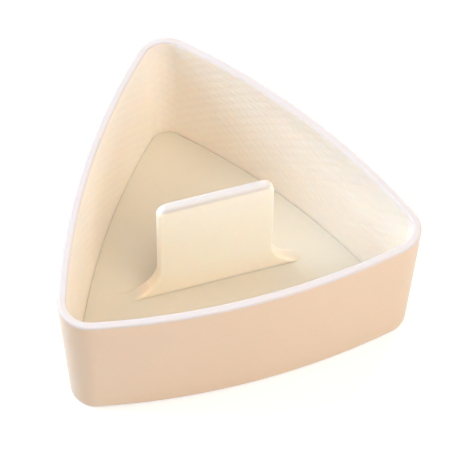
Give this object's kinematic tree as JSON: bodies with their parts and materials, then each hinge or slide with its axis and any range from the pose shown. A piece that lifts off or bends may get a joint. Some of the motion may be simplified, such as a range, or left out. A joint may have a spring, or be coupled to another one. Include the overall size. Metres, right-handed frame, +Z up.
{
  "type": "rice ball mold",
  "caption": "Triangular rice ball mold: an open drafted cup with bowed sides, and a loose press plate with an upright handle that drops inside it.",
  "frame": {"origin": "on the table under the mold, in the middle of its width and of its length from bowed side to point", "axes": "+Z up out of the open mold, +Y towards the corner opposite the front side, +X along the handle"},
  "size_m": [0.0974, 0.091, 0.042],
  "materials": {
    "mold_plastic": "satin ivory polypropylene, fine textured inside",
    "press_plastic": "satin ivory polypropylene, smooth"
  },
  "bodies": {
    "mold": {"mold_body": "mold_plastic"},
    "press": {"press": "press_plastic"}
  },
  "joints": [
    {"name": "press_lift", "type": "slide", "parent": "mold", "child": "press", "axis": [0, 0, 1], "range_m": [0, 0.05]}
  ]
}
